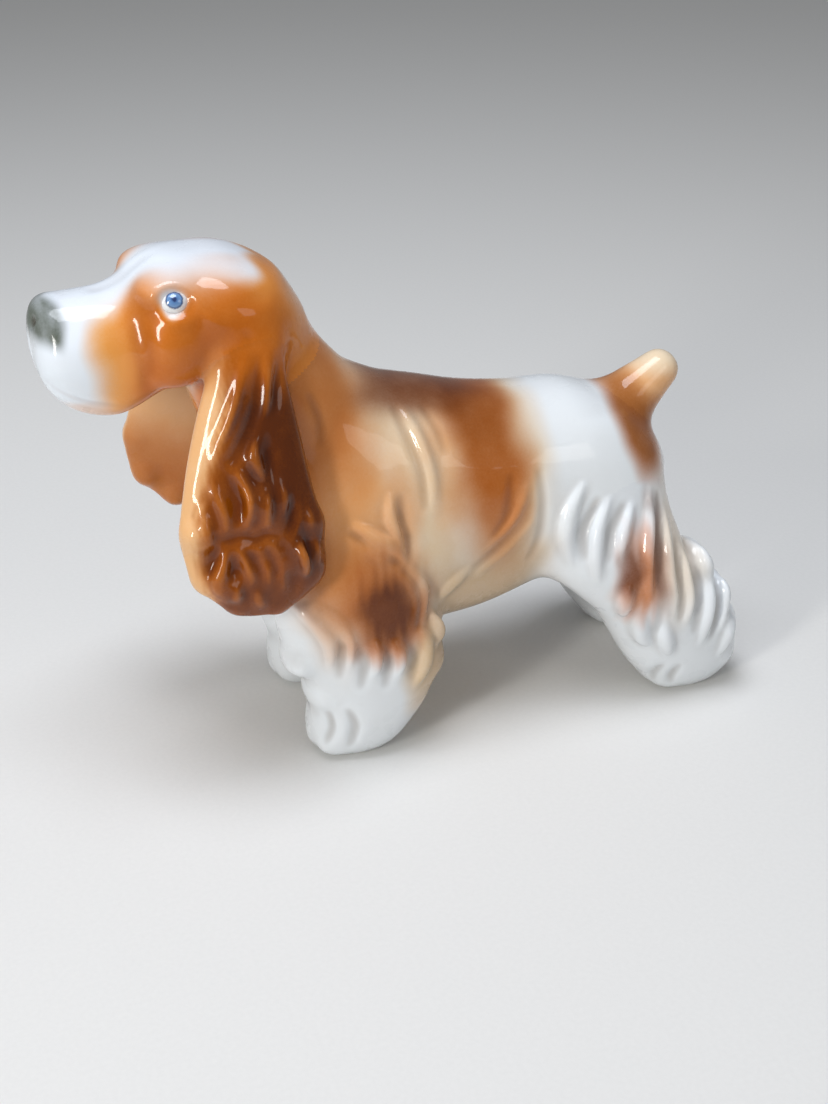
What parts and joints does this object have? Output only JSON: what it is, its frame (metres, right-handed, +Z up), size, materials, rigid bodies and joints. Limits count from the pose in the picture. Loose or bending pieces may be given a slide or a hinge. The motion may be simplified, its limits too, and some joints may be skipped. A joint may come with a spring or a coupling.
{
  "type": "ceramic dog figurine",
  "caption": "Glossy glazed ceramic figurine of a standing long-eared spaniel, tan and white, that stands on its feet as an ornament.",
  "frame": {"origin": "on the table, midway between the nose and the heels and midway between the left and right sides", "axes": "+X is the dog's left, +Y runs from its nose to its heels, +Z is up"},
  "size_m": [0.0572, 0.15, 0.11],
  "materials": {
    "trunk_glaze": "clear gloss glaze over airbrushed tan, cream and white",
    "face_glaze": "clear gloss glaze over orange tan and white",
    "ear_glaze": "clear gloss glaze over dark caramel brown",
    "foreleg_glaze": "clear gloss glaze over white, with a tan elbow patch",
    "hind_leg_glaze": "clear gloss glaze over white, with a brown hock patch",
    "tail_glaze": "clear gloss glaze over tan and cream",
    "eye_enamel": "glossy dark blue overglaze enamel"
  },
  "bodies": {
    "root": {"torso": "trunk_glaze", "head": "face_glaze", "left_ear": "ear_glaze", "right_ear": "ear_glaze", "left_foreleg": "foreleg_glaze", "right_foreleg": "foreleg_glaze", "left_hind_leg": "hind_leg_glaze", "right_hind_leg": "hind_leg_glaze", "tail": "tail_glaze", "left_eye": "eye_enamel", "right_eye": "eye_enamel"}
  },
  "joints": []
}
